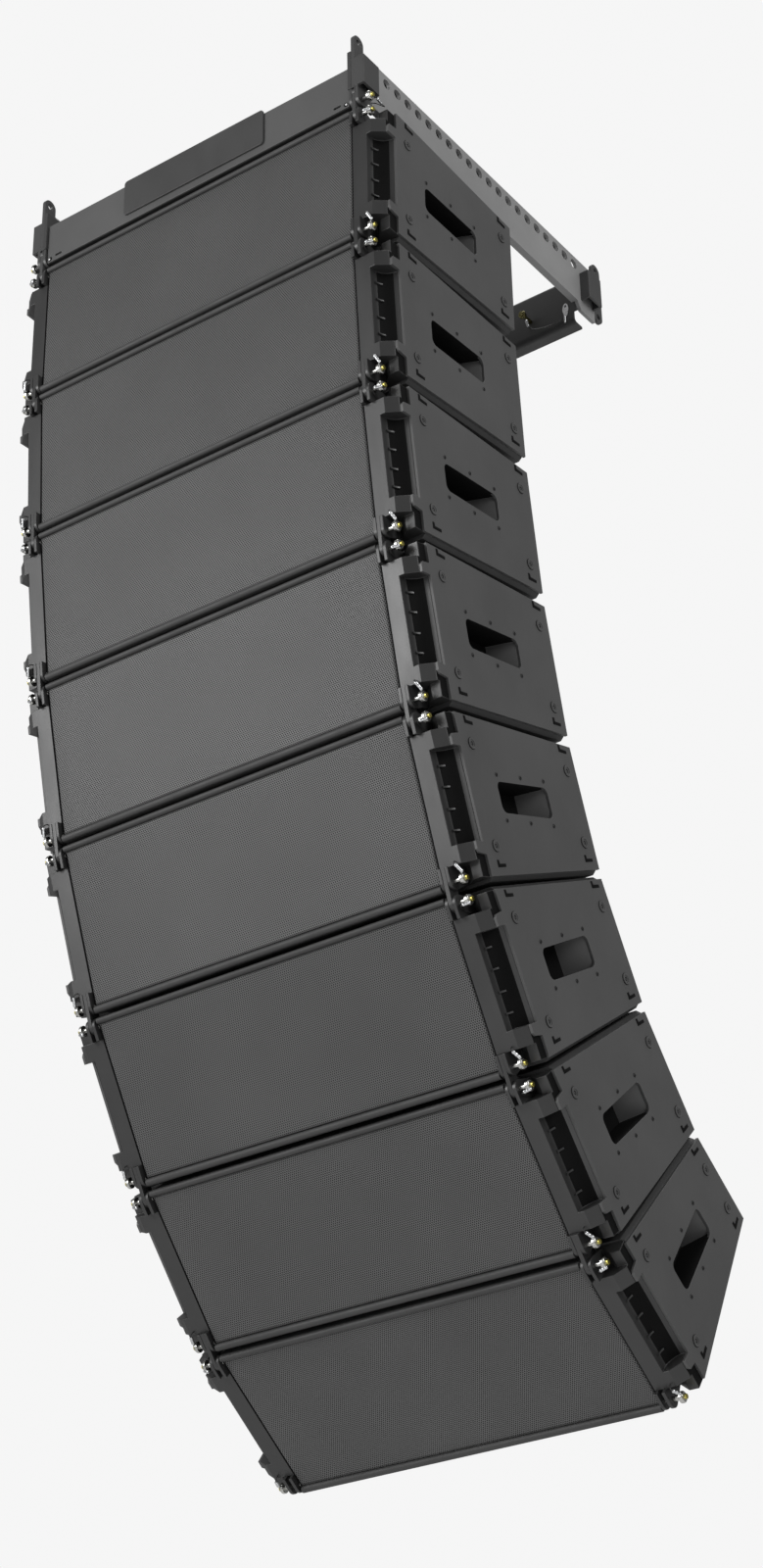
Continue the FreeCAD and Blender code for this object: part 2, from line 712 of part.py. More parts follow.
for number, drop in enumerate(wedge_drops, start=1):
    pins = [quick_pin(pin_drop), quick_pin(pitch - pin_drop)]
    add_node(f"cabinet_{number}", cabinet(drop), number)
    add_node(f"side_plates_{number}", side_plates(drop), number)
    add_node(f"grille_{number}", grille(), number)
    add_node(f"rigging_{number}", rigging(drop, number < len(wedge_drops)), number)
    add_node(f"drivers_{number}", drivers(), number)
    add_node(f"pins_right_{number}", pins, number)
    add_node(f"pins_left_{number}", [mirrored(pin) for pin in pins], number)

os.makedirs("parts", exist_ok=True)
for name, shape in part_nodes.items():
    shape.exportStep(f"parts/{name}.step")
    print(name, len(shape.Solids), round(shape.Volume / 1000.0, 1), shape.isValid())
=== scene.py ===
import json
import math

import bmesh
import bpy
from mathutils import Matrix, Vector

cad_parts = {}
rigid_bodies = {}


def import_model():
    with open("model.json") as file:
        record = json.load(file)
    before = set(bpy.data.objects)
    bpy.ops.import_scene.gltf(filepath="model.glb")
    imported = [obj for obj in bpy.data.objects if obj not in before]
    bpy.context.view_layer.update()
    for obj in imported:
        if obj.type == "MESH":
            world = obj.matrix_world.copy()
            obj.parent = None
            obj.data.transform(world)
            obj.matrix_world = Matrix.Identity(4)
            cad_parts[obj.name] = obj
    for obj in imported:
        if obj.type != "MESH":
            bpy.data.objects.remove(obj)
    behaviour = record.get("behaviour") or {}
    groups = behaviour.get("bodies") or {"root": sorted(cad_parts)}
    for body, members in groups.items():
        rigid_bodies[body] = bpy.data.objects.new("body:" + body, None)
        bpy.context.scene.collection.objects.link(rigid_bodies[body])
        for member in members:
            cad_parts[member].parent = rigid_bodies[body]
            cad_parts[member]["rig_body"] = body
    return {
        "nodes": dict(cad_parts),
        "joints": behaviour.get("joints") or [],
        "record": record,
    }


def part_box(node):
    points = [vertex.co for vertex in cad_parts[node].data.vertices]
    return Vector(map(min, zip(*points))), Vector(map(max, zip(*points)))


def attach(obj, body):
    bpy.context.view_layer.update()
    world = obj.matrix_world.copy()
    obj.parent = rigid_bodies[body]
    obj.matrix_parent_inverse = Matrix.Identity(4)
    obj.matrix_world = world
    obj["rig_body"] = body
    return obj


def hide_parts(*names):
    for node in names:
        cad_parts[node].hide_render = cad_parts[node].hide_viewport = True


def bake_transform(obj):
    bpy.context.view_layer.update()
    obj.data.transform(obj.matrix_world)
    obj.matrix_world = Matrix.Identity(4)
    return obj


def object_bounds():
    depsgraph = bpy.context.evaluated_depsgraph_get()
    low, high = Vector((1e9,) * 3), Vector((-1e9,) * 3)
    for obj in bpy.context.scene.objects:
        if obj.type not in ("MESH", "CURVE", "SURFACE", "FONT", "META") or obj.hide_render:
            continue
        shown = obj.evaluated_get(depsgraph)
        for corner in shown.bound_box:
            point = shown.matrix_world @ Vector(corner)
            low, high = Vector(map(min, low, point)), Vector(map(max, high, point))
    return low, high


# Looks of the line array speaker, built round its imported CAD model. Every cabinet's details are drawn
# in its own frame, in millimetres: x to the side, u backwards from the front face and v down from the
# seam above it. The hinge pins give that frame its place.

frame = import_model()
cad_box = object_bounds()
record = frame["record"]
nodes = frame["nodes"]
joints = {joint["name"]: joint for joint in frame["joints"]}

MM = 0.001
MODULES = range(1, 9)
SIDES = (("right", 1), ("left", -1))
SHARP_EDGE = math.radians(35.0)

# ---- the cabinets' own frame, in millimetres ----
PIN_U = 6.0
PIN_V = 20.0
SKIN_X = 489.0
PLATE_DEPTH = 466.0
PLATE_EDGE = 11.5
GRILLE_BEND = 4.0
WIRE_RADIUS = 1.1 * MM


class Local:
    """A cabinet's drawing frame, given by its hinge and the direction to its lower pins."""

    def __init__(self, hinge, down):
        self.hinge = Vector((0.0, hinge.y, hinge.z))
        self.down = down
        self.back = Vector((0.0, -down.z, down.y))

    def at(self, x, u, v):
        return self.hinge + (Vector((x, 0, 0)) + self.back * (u - PIN_U) + self.down * (v - PIN_V)) * MM

    def inside(self, place):
        offset = (place - self.hinge) / MM
        return place.x / MM, offset.dot(self.back) + PIN_U, offset.dot(self.down) + PIN_V

    def extent(self, node):
        """(low, high) of a CAD node along x, u and v."""
        places = [self.inside(vertex.co) for vertex in nodes[node].data.vertices]
        return [(min(axis), max(axis)) for axis in zip(*places)]


def module_frame(number):
    hinge = Vector(joints[f"splay_{number}"]["pos_m"])
    low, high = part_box(f"pins_right_{number}")
    middle = (low + high) / 2
    span = Vector((0.0, middle.y - hinge.y, middle.z - hinge.z))
    return Local(hinge, span.normalized()), 2 * (span.length / MM + PIN_V)


locals_ = {}
for number in MODULES:
    locals_[number], pitch = module_frame(number)
top = Local(locals_[1].hinge, Vector((0.0, 0.0, -1.0)))


# ================= materials =================
def shader(name):
    material = bpy.data.materials.new(name)
    material.use_nodes = True
    return material, material.node_tree


def put(tree, kind, inputs=None, **settings):
    """Add a node, set its options, and fill its sockets with values or links."""
    made = tree.nodes.new(kind)
    for key, value in settings.items():
        setattr(made, key, value)
    for key, value in (inputs or {}).items():
        if isinstance(value, bpy.types.NodeSocket):
            tree.links.new(value, made.inputs[key])
        else:
            made.inputs[key].default_value = value
    return made


def principled(tree):
    return tree.nodes["Principled BSDF"]


def link(tree, source, target):
    tree.links.new(source, target)


def grey(value):
    return (value, value, value, 1.0)


def math_node(tree, operation, first, second=0.0, clamp=False):
    return put(tree, "ShaderNodeMath", {0: first, 1: second}, operation=operation, use_clamp=clamp).outputs[0]


def ramp(tree, factor, low, high, low_value, high_value):
    """Map a factor from one range to another, clamped."""
    return put(tree, "ShaderNodeMapRange", {
        "Value": factor, "From Min": low, "From Max": high, "To Min": low_value, "To Max": high_value,
    }).outputs["Result"]


def blend_colours(tree, factor, first, second):
    return put(tree, "ShaderNodeMix", {0: factor, 6: first, 7: second}, data_type="RGBA").outputs[2]


def object_place(tree):
    return put(tree, "ShaderNodeTexCoord").outputs["Object"]


def noise(tree, place, scale, detail=3.0, roughness=0.55):
    return put(tree, "ShaderNodeTexNoise", {
        "Vector": place, "Scale": scale, "Detail": detail, "Roughness": roughness,
    }).outputs["Fac"]


def edge_wear(tree, radius):
    """0 on flat faces, rising to 1 on outer edges, where the coat rubs thin."""
    rounded = put(tree, "ShaderNodeBevel", {"Radius": radius}, samples=4).outputs["Normal"]
    flat = put(tree, "ShaderNodeNewGeometry").outputs["Normal"]
    same = put(tree, "ShaderNodeVectorMath", {0: rounded, 1: flat}, operation="DOT_PRODUCT").outputs["Value"]
    return ramp(tree, same, 0.998, 0.80, 0.0, 1.0)


def coat(name, value, roughness, grain, bump, mottle=0.10, wear=0.0, specular=0.5):
    """Paint or powder coat: fine grain in the normal, soft mottling, and rubbed edges."""
    material, tree = shader(name)
    bsdf = principled(tree)
    place = object_place(tree)
    fine = noise(tree, place, 1 / (grain * MM), 2.0)
    broad = noise(tree, place, 5.0, 4.0)
    upright = put(tree, "ShaderNodeMapping", {"Vector": place, "Scale": (9.0, 9.0, 2.2)}).outputs[0]
    smear = noise(tree, upright, 2.0)
    colour = blend_colours(tree, ramp(tree, broad, 0.3, 0.7, 0.0, 1.0), grey(value * (1 - mottle)),
                           grey(value * (1 + mottle)))
    if wear:
        patches = ramp(tree, smear, 0.35, 0.65, 0.25, 1.0)
        rubbed = math_node(tree, "MULTIPLY", edge_wear(tree, 1.6 * MM), patches)
        colour = blend_colours(tree, rubbed, colour, grey(value * (1 + wear)))
    link(tree, colour, bsdf.inputs["Base Color"])
    rough = math_node(tree, "ADD", ramp(tree, smear, 0.3, 0.7, roughness - 0.06, roughness + 0.05),
                      ramp(tree, fine, 0.3, 0.7, -0.03, 0.03))
    link(tree, rough, bsdf.inputs["Roughness"])
    bsdf.inputs["Specular IOR Level"].default_value = specular
    relief = put(tree, "ShaderNodeBump", {"Height": fine, "Strength": 0.6, "Distance": bump * MM})
    link(tree, relief.outputs["Normal"], bsdf.inputs["Normal"])
    return material


def perforated(name, value, roughness, hole_pitch, hole_radius):
    """Steel sheet with rows of staggered round holes, drawn in the sheet's own flat coordinates; the holes are
    painted near-black, as painted shade of the dark cabinet behind the sheet.
    """
    material, tree = shader(name)
    bsdf = principled(tree)
    flat = put(tree, "ShaderNodeUVMap", uv_map="sheet").outputs["UV"]
    row = math.sqrt(3) * hole_pitch
    cell = put(tree, "ShaderNodeVectorMath", {0: flat, 1: (1 / (hole_pitch * MM), 1 / (row * MM), 0.0)},
               operation="MULTIPLY").outputs[0]
    distances = []
    for shift in (0.0, 0.5):
        moved = put(tree, "ShaderNodeVectorMath", {0: cell, 1: (shift, shift, 0.0)}, operation="ADD").outputs[0]
        turn = put(tree, "ShaderNodeVectorMath", {0: moved}, operation="FRACTION").outputs[0]
        centred = put(tree, "ShaderNodeVectorMath", {0: turn, 1: (0.5, 0.5, 0.0)},
                      operation="SUBTRACT").outputs[0]
        true = put(tree, "ShaderNodeVectorMath", {0: centred, 1: (hole_pitch, row, 0.0)}, operation="MULTIPLY")
        length = put(tree, "ShaderNodeVectorMath", {0: true.outputs[0]}, operation="LENGTH")
        distances.append(length.outputs["Value"])
    nearest = math_node(tree, "MINIMUM", distances[0], distances[1])
    metal = ramp(tree, nearest, hole_radius - 0.2, hole_radius + 0.2, 0.0, 1.0)
    place = object_place(tree)
    broad = noise(tree, place, 4.0, 4.0)
    grain = noise(tree, place, 900.0, 2.0)
    paint = blend_colours(tree, ramp(tree, broad, 0.3, 0.7, 0.0, 1.0), grey(value * 0.92), grey(value * 1.08))
    # Holes near-black: painted shade of the cabinet seen through them.
    link(tree, blend_colours(tree, metal, grey(0.004), paint), bsdf.inputs["Base Color"])
    link(tree, ramp(tree, metal, 0.0, 1.0, 0.95, roughness), bsdf.inputs["Roughness"])
    height = math_node(tree, "ADD", metal, math_node(tree, "MULTIPLY", grain, 0.12))
    relief = put(tree, "ShaderNodeBump", {"Height": height, "Strength": 0.7, "Distance": 0.5 * MM})
    link(tree, relief.outputs["Normal"], bsdf.inputs["Normal"])
    return material


def bare_metal(name, colour, roughness):
    """Plated or machined metal with fine turning marks."""
    material, tree = shader(name)
    bsdf = principled(tree)
    place = object_place(tree)
    marks = noise(tree, put(tree, "ShaderNodeMapping", {"Vector": place, "Scale": (0.15, 1.0, 1.0)}).outputs[0],
                  400.0, 3.0)
    stain = noise(tree, place, 60.0, 3.0)
    tint = blend_colours(tree, ramp(tree, stain, 0.35, 0.7, 0.0, 1.0), (*colour, 1.0),
                         (*[part * 0.8 for part in colour], 1.0))
    link(tree, tint, bsdf.inputs["Base Color"])
    bsdf.inputs["Metallic"].default_value = 1.0
    link(tree, ramp(tree, marks, 0.3, 0.7, roughness - 0.06, roughness + 0.08), bsdf.inputs["Roughness"])
    relief = put(tree, "ShaderNodeBump", {"Height": marks, "Strength": 0.25, "Distance": 0.05 * MM})
    link(tree, relief.outputs["Normal"], bsdf.inputs["Normal"])
    return material


def pin_material(name, button_start):
    """Chrome pin with a brass release button beyond its head."""
    material = bare_metal(name, (0.52, 0.52, 0.50), 0.24)
    tree = material.node_tree
    bsdf = principled(tree)
    parts = put(tree, "ShaderNodeSeparateXYZ", {0: object_place(tree)})
    outward = math_node(tree, "ABSOLUTE", parts.outputs["X"])
    button = math_node(tree, "GREATER_THAN", outward, button_start)
    chrome = bsdf.inputs["Base Color"].links[0].from_socket
    link(tree, blend_colours(tree, button, chrome, (0.46, 0.40, 0.10, 1.0)), bsdf.inputs["Base Color"])
    return material


cabinet_coat = coat("cabinet_textured_coat", 0.030, 0.62, 1.6, 0.25, wear=0.5)
plate_coat = coat("side_plate_powder_coat", 0.064, 0.50, 1.0, 0.10, wear=0.6)
casing_coat = coat("cast_casing_satin", 0.023, 0.40, 1.2, 0.10, wear=1.6)
rail_coat = coat("frame_plate_powder_coat", 0.230, 0.45, 1.1, 0.10, wear=0.4)
# Darker copy of the frame's powder coat for the crossbeams and the rails' inner webs: painted shade of the
# frame's inner faces.
frame_painted_shade_coat = coat("frame_powder_coat_painted_shade", 0.030, 0.50, 1.1, 0.10, wear=0.8)
fascia_coat = coat("fascia_fine_texture", 0.068, 0.55, 1.4, 0.20, wear=0.4)
badge_coat = coat("badge_satin", 0.040, 0.45, 1.0, 0.06)
grille_coat = perforated("grille_perforated_steel", 0.085, 0.48, 4.6, 1.45)
driver_coat = coat("driver_cone_and_basket", 0.030, 0.60, 2.5, 0.30)
# Near-black coat for the insides of the hand cups and pockets: painted shade, standing for the deep shadow of
# recesses drawn shallower than they are.
recess_painted_shade_coat = coat("hand_recess_painted_shade", 0.003, 0.80, 1.6, 0.25, specular=0.12)
stored_metal = bare_metal("stored_pin_dark_brass", (0.20, 0.18, 0.08), 0.32)
fitting_coat = coat("frame_fitting_satin", 0.045, 0.42, 1.2, 0.10, wear=0.8)
screw_coat = coat("black_oxide_screw", 0.008, 0.45, 0.8, 0.04, wear=1.2, specular=0.3)
# Near-black coat: painted shade in the grooves round the bolt heads and in the fascia's and ears' holes, and
# the black of the corner marks.
black_mark_and_shade_coat = coat("black_marks_and_painted_shade", 0.004, 0.75, 1.0, 0.05, specular=0.1)
wire_coat = coat("lanyard_jacket", 0.012, 0.50, 0.6, 0.05)
socket_coat = coat("socket_plastic", 0.025, 0.45, 0.8, 0.05)
dot_coat = coat("white_marker_dot", 0.80, 0.40, 0.8, 0.02)
tag_metal = bare_metal("bright_tag", (0.85, 0.85, 0.86), 0.30)
ferrule_metal = bare_metal("crimped_ferrule", (0.66, 0.67, 0.68), 0.30)
pin_metal = pin_material("quick_release_pin", 460.5 * MM)


# ================= mesh building =================
def from_bmesh(name, bm, body, material):
    """A shaded piece that rides on a body, made of the given faces."""
    bmesh.ops.recalc_face_normals(bm, faces=bm.faces)
    mesh = bpy.data.meshes.new(name)
    bm.to_mesh(mesh)
    bm.free()
    mesh.materials.append(material)
    mesh.polygons.foreach_set("use_smooth", [True] * len(mesh.polygons))
    mesh.set_sharp_from_angle(angle=SHARP_EDGE)
    piece = bpy.data.objects.new(name, mesh)
    bpy.context.scene.collection.objects.link(piece)
    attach(piece, body)
    return piece


def islands(bm):
    """The separate solids of a mesh, each as a list of faces."""
    seen = set()
    found = []
    for start in bm.faces:
        if start in seen:
            continue
        seen.add(start)
        group, waiting = [], [start]
        while waiting:
            face = waiting.pop()
            group.append(face)
            for edge in face.edges:
                for other in edge.link_faces:
                    if other not in seen:
                        seen.add(other)
                        waiting.append(other)
        found.append(group)
    return found


def softened(node, body, material, width, others=()):
    """A copy of a CAD node whose sharp edges are rounded, drawn in the node's place while the node is hidden.

    Each of the others is a (test, material) pair: faces that pass the test get that material instead.
    """
    bm = bmesh.new()
    bm.from_mesh(nodes[node].data)
    bmesh.ops.remove_doubles(bm, verts=bm.verts, dist=0.01 * MM)
    bmesh.ops.dissolve_limit(bm, angle_limit=math.radians(0.3), verts=bm.verts, edges=bm.edges)
    for group in islands(bm):
        edges = {edge for face in group for edge in face.edges}
        sharp = [edge for edge in edges if edge.is_manifold and edge.calc_face_angle(0.0) > SHARP_EDGE]
        bmesh.ops.bevel(bm, geom=sharp, offset=width * MM, offset_type="OFFSET", segments=2, profile=0.5,
                        affect="EDGES", clamp_overlap=True)
    bm.faces.ensure_lookup_table()
    bm.faces.index_update()
    passed = [[face.index for face in bm.faces if test(face)] for test, other in others]
    piece = from_bmesh(f"{node}_softened", bm, body, material)
    for indices, (test, other) in zip(passed, others):
        piece.data.materials.append(other)
        for index in indices:
            piece.data.polygons[index].material_index = len(piece.data.materials) - 1
    normals = piece.modifiers.new("flat faces", "WEIGHTED_NORMAL")
    normals.weight = 100
    normals.keep_sharp = True
    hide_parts(node)
    return piece


def skin(bm, rings, ends=True):
    """Faces between neighbouring rings of vertices, and over the two ends."""
    count = len(rings[0])
    for first, second in zip(rings, rings[1:]):
        for step in range(count):
            after = (step + 1) % count
            bm.faces.new((first[step], first[after], second[after], second[step]))
    if ends:
        bm.faces.new(rings[0])
        bm.faces.new(rings[-1])


def turned(bm, frame_, centre, profile, side=1, segments=20):
    """Solid turned about an axis along x, from (x, radius) pairs; its ends are closed."""
    rings = []
    for x, radius in profile:
        ring = []
        for step in range(segments):
            angle = 2 * math.pi * step / segments
            u, v = centre[0] + radius * math.cos(angle), centre[1] + radius * math.sin(angle)
            ring.append(bm.verts.new(frame_.at(side * x, u, v)))
        rings.append(ring)
    skin(bm, rings)


def turned_u(bm, frame_, x, v, profile, segments=24):
    """Solid turned about an axis along u, from (u, radius) pairs; its ends are closed."""
    rings = []
    for u, radius in profile:
        ring = []
        for step in range(segments):
            angle = 2 * math.pi * step / segments
            ring.append(bm.verts.new(frame_.at(x + radius * math.cos(angle), u, v + radius * math.sin(angle))))
        rings.append(ring)
    skin(bm, rings)


def washer(bm, frame_, centre, radii, x_range, side, segments=28):
    """Flat ring about an axis along x."""
    inner, outer = radii
    near, far = x_range
    loops = []
    for radius, x in ((inner, near), (outer, near), (outer, far), (inner, far)):
        loop = []
        for step in range(segments):
            angle = 2 * math.pi * step / segments
            u, v = centre[0] + radius * math.cos(angle), centre[1] + radius * math.sin(angle)
            loop.append(bm.verts.new(frame_.at(side * x, u, v)))
        loops.append(loop)
    skin(bm, loops + loops[:1], ends=False)


def slab(bm, frame_, outline, x_range, side, rounding):
    """Plate with a (u, v) outline and its thickness along x, its edges rounded."""
    near = [bm.verts.new(frame_.at(side * x_range[0], u, v)) for u, v in outline]
    far = [bm.verts.new(frame_.at(side * x_range[1], u, v)) for u, v in outline]
    count = len(outline)
    faces = [bm.faces.new(near), bm.faces.new(far)]
    for step in range(count):
        after = (step + 1) % count
        faces.append(bm.faces.new((near[step], near[after], far[after], far[step])))
    edges = list({edge for face in faces for edge in face.edges})
    bmesh.ops.bevel(bm, geom=edges, offset=rounding * MM, offset_type="OFFSET", segments=2, profile=0.5,
                    affect="EDGES", clamp_overlap=True)


def tube(bm, points, radius, segments=8):
    """Round tube along world points, with closed ends."""
    rings = []
    for index, place in enumerate(points):
        before = points[max(index - 1, 0)]
        after = points[min(index + 1, len(points) - 1)]
        along = (after - before).normalized()
        side = along.cross(Vector((0.31, 0.17, 0.93))).normalized()
        other = along.cross(side)
        rings.append([
            bm.verts.new(place + (side * math.cos(2 * math.pi * step / segments)
                                  + other * math.sin(2 * math.pi * step / segments)) * radius)
            for step in range(segments)
        ])
    skin(bm, rings)


def bezier(a, b, c, d, count):
    """Places along a cubic curve."""
    places = []
    for index in range(count):
        t = index / (count - 1)
        places.append(a * (1 - t) ** 3 + b * (3 * t * (1 - t) ** 2) + c * (3 * t * t * (1 - t)) + d * t ** 3)
    return places


# ================= grilles =================
def grille(number):
    """Perforated sheet with rounded side folds; the folds are cut back near its top and bottom edges, clear of
    the hinge pins.
    """
    local = locals_[number]
    (x_low, x_high), (u_low, u_high), (v_low, v_high) = local.extent(f"grille_{number}")
    thickness = 1.6
    section = [(x_low + thickness / 2, u_high)]
    for step in range(7):
        angle = math.pi / 2 * step / 6
        section.append((x_low + thickness / 2 + GRILLE_BEND * (1 - math.cos(angle)),
                        u_low + thickness / 2 + GRILLE_BEND * (1 - math.sin(angle))))
    columns = 24
    inner = x_low + thickness / 2 + GRILLE_BEND
    for step in range(1, columns // 2 + 1):
        section.append((inner * (1 - 2 * step / columns), u_low + thickness / 2))
    section += [(-x, u) for x, u in reversed(section[:-1])]
    rows = [v_low + 0.8, v_low + 5.0] + [v_low + (v_high - v_low) * part / 6 for part in range(1, 6)]
    rows += [v_high - 5.0, v_high - 0.8]
    bm = bmesh.new()
    flat = bm.loops.layers.uv.new("sheet")
    lengths = [0.0]
    for first, second in zip(section, section[1:]):
        lengths.append(lengths[-1] + math.hypot(second[0] - first[0], second[1] - first[1]))
    relief = PIN_V + 8.5
    grid = [[bm.verts.new(local.at(x, u, v)) for x, u in section] for v in rows]
    for row in range(len(rows) - 1):
        for column in range(len(section) - 1):
            quad = [(row, column), (row, column + 1), (row + 1, column + 1), (row + 1, column)]
            fold = section[column][1] > 8 or section[column + 1][1] > 8
            if fold and not relief < (rows[row] + rows[row + 1]) / 2 < pitch - relief:
                continue
            face = bm.faces.new([grid[r][c] for r, c in quad])
            for loop, (r, c) in zip(face.loops, quad):
                loop[flat].uv = (lengths[c] * MM, rows[r] * MM)
    piece = from_bmesh(f"grille_{number}_sheet", bm, f"module_{number}", grille_coat)
    shell = piece.modifiers.new("thickness", "SOLIDIFY")
    shell.thickness = thickness * MM
    shell.offset = 0.0
    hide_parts(f"grille_{number}")


# ================= details on each cabinet =================
SCREW_U = (152.0, 239.0, 325.0)
SCREW_V = (130.0, 219.0)
MARK_U = (80.0, 417.0)
MARK_INSET = 11.0
SOCKET_PROFILE = ((-1.0, 14.5), (0.8, 14.5), (1.6, 13.2), (1.6, 10.5), (-0.5, 10.0), (-0.5, 6.5),
                  (0.8, 6.0), (0.8, 0.4))
PANEL_SCREW_PROFILE = ((-4.0, 3.6), (-2.0, 3.6), (-1.2, 2.8), (-1.0, 1.6), (-2.0, 1.4), (-2.0, 0.2))
MARK_SHAPE = ((0.0, -8.0), (6.0, -8.0), (6.0, 0.0), (28.0, 0.0), (28.0, 6.0), (0.0, 6.0))


def cup_screws(number):
    """Six button-head screws round the hand hole, on each side plate."""
    bm = bmesh.new()
    for _, side in SIDES:
        for u in SCREW_U:
            for v in SCREW_V:
                turned(bm, locals_[number], (u, v), [
                    (SKIN_X - 0.4, 4.4), (SKIN_X + 0.5, 4.4), (SKIN_X + 1.3, 3.6), (SKIN_X + 1.6, 2.2),
                    (SKIN_X + 0.7, 1.9), (SKIN_X + 0.7, 0.2),
                ], side, 16)
    from_bmesh(f"cup_screws_{number}", bm, f"module_{number}", screw_coat)


def corner_marks(number):
    """Low near-black L-shaped strips near the side plates' corners, level with the sloping edges."""
    slope = wedge_drops[number] / PLATE_DEPTH
    bm = bmesh.new()
    for _, side in SIDES:
        for u in MARK_U:
            line = PLATE_EDGE + slope * u + MARK_INSET
            for level, fall in ((line, slope), (pitch - line - MARK_INSET, -slope)):
                shape = [(u + across, level + down + fall * across) for across, down in MARK_SHAPE]
                slab(bm, locals_[number], shape, (SKIN_X - 0.3, SKIN_X + 1.1), side, 0.3)
    from_bmesh(f"corner_marks_{number}", bm, f"module_{number}", black_mark_and_shade_coat)


def pocket_ribs(number):
    """Four short fins on the inner wall of each hand pocket."""
    bm = bmesh.new()
    centre_x, centre_u, radius, height = SKIN_X - 6.0, 12.0, 35.0, 4.0
    for _, side in SIDES:
        for v in (112.0, 152.0, 194.5, 234.5):
            outer, inner = [], []
            for step in range(5):
                angle = math.radians(145 + 30 * step / 4)
                for reach, line in ((radius + 0.6, outer), (radius - height, inner)):
                    line.append((centre_x + reach * math.cos(angle), centre_u + reach * math.sin(angle)))
            outline = outer + inner[::-1]
            low = [bm.verts.new(locals_[number].at(side * x, u, v - 1.6)) for x, u in outline]
            high = [bm.verts.new(locals_[number].at(side * x, u, v + 1.6)) for x, u in outline]
            skin(bm, [low, high])
    from_bmesh(f"pocket_ribs_{number}", bm, f"module_{number}", casing_coat)


def ferrule(bm, start, along, length, radius):
    """Crimped sleeve: a short tube with three pressed waists."""
    side = along.orthogonal().normalized()
    other = along.cross(side)
    rings = []
    steps, segments = 12, 12
    for index in range(steps + 1):
        t = index / steps
        waist = 0.62 if index in (0, steps) else 1.0 - 0.16 * (1 + math.cos(6 * math.pi * t)) / 2
        ring = []
        for step in range(segments):
            angle = 2 * math.pi * step / segments
            spoke = side * math.cos(angle) + other * math.sin(angle)
            ring.append(bm.verts.new(start + along * (length * t) + spoke * (radius * waist)))
        rings.append(ring)
    skin(bm, rings)


def pin_lanyards(number, name, side):
    """Short wires from the pins' heads to the casing, and their crimped sleeves; the wires ride on no body."""
    local = locals_[number]
    body, pins_body = f"module_{number}", f"pins_{name}_{number}"
    sleeves, wires = bmesh.new(), bmesh.new()
    for v, away in ((PIN_V, 1), (pitch - PIN_V, -1)):
        if away > 0:
            start, end = local.at(side * 461.0, PIN_U - 7, v + 5), local.at(side * 447.0, PIN_U - 14, v + 6)
        else:
            start, end = local.at(side * 459.5, PIN_U - 6, v - 10), local.at(side * 452.0, PIN_U - 14, v - 27)
        along = (end - start).normalized()
        ferrule(sleeves, start, along, (end - start).length, 3.6 * MM)
        anchor = local.at(side * 441.0, 46.0, v + away * 22)
        head = local.at(side * 459.0, PIN_U + 1, v + away * 9)
        wire = bezier(head, head + (start - head) * 0.5, start - along * 2 * MM, start + along * 2 * MM, 5)
        wire += bezier(end, end + along * 12 * MM, anchor + (end - anchor) * 0.3 + local.down * away * 14 * MM,
                       anchor, 12)
        tube(wires, wire, WIRE_RADIUS)
    from_bmesh(f"pin_ferrules_{name}_{number}", sleeves, pins_body, ferrule_metal)
    piece = from_bmesh(f"pin_lanyards_{name}_{number}", wires, pins_body, wire_coat)
    del piece["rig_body"]
    piece.parent = None
    local.at(side * 441.0, 30, pitch / 2)
    local.at(side * 455.0, 30, pitch / 2)
    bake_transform(piece)


def rear_sockets(number):
    """Screws and locking rings on the connector panel at the back."""
    local = locals_[number]
    face = local.extent(f"drivers_{number}")[1][1]
    middle = pitch / 2
    rings, screws = bmesh.new(), bmesh.new()
    for x in (185.0, 255.0):
        for dv in (-20.0, 20.0):
            turned_u(rings, local, x, middle + dv, [(face + u, radius) for u, radius in SOCKET_PROFILE])
    for x in (157.0, 283.0):
        for dv in (-38.0, 38.0):
            profile = [(face + u, radius) for u, radius in PANEL_SCREW_PROFILE]
            turned_u(screws, local, x, middle + dv, profile, 16)
    from_bmesh(f"rear_sockets_{number}", rings, f"module_{number}", socket_coat)
    from_bmesh(f"rear_screws_{number}", screws, f"module_{number}", screw_coat)


def bolts_with_painted_shade_rings(number):
    """Thin rings round the four shallow bolt heads of each side plate, with a socket in the middle; all
    near-black, as painted shade of the groove round each head and of the socket.
    """
    drop = wedge_drops[number]
    bm = bmesh.new()
    for _, side in SIDES:
        for u, v in ((88.0, 75.0), (430.0, 63.0 + drop)):
            for centre in ((u, v), (u, pitch - v)):
                washer(bm, locals_[number], centre, (8.0, 11.8), (SKIN_X - 0.4, SKIN_X + 0.8), side)
                turned(bm, locals_[number], centre, [
                    (SKIN_X - 0.4, 5.0), (SKIN_X + 0.5, 5.0), (SKIN_X + 0.8, 4.6), (SKIN_X + 0.8, 2.6),
                    (SKIN_X - 0.2, 2.4), (SKIN_X - 0.2, 0.2),
                ], side, 12)
    from_bmesh(f"bolts_with_painted_shade_rings_{number}", bm, f"module_{number}", black_mark_and_shade_coat)


def in_hand_cup(number):
    """Test for the inside faces of the two hand cups in a side plates node, which get painted shade."""
    local = locals_[number]

    def test(face):
        x, u, v = local.inside(face.calc_center_median())
        return abs(x) < SKIN_X - 2 and 140 < u < 312 and 120 < v < pitch - 120
    return test


def in_pocket(number):
    """Test for the curved inside faces of the hand pockets in a casing, which get painted shade."""
    local = locals_[number]

    def test(face):
        x, u, v = local.inside(face.calc_center_median())
        return 449 < abs(x) < SKIN_X - 4 and -4 < u < 46 and 84 < v < pitch - 84
    return test


wedge_drops = {}
for number in MODULES:
    rear = [locals_[number].inside(vertex.co) for vertex in nodes[f"side_plates_{number}"].data.vertices]
    wedge_drops[number] = min(v for x, u, v in rear if u > PLATE_DEPTH - 1) - PLATE_EDGE

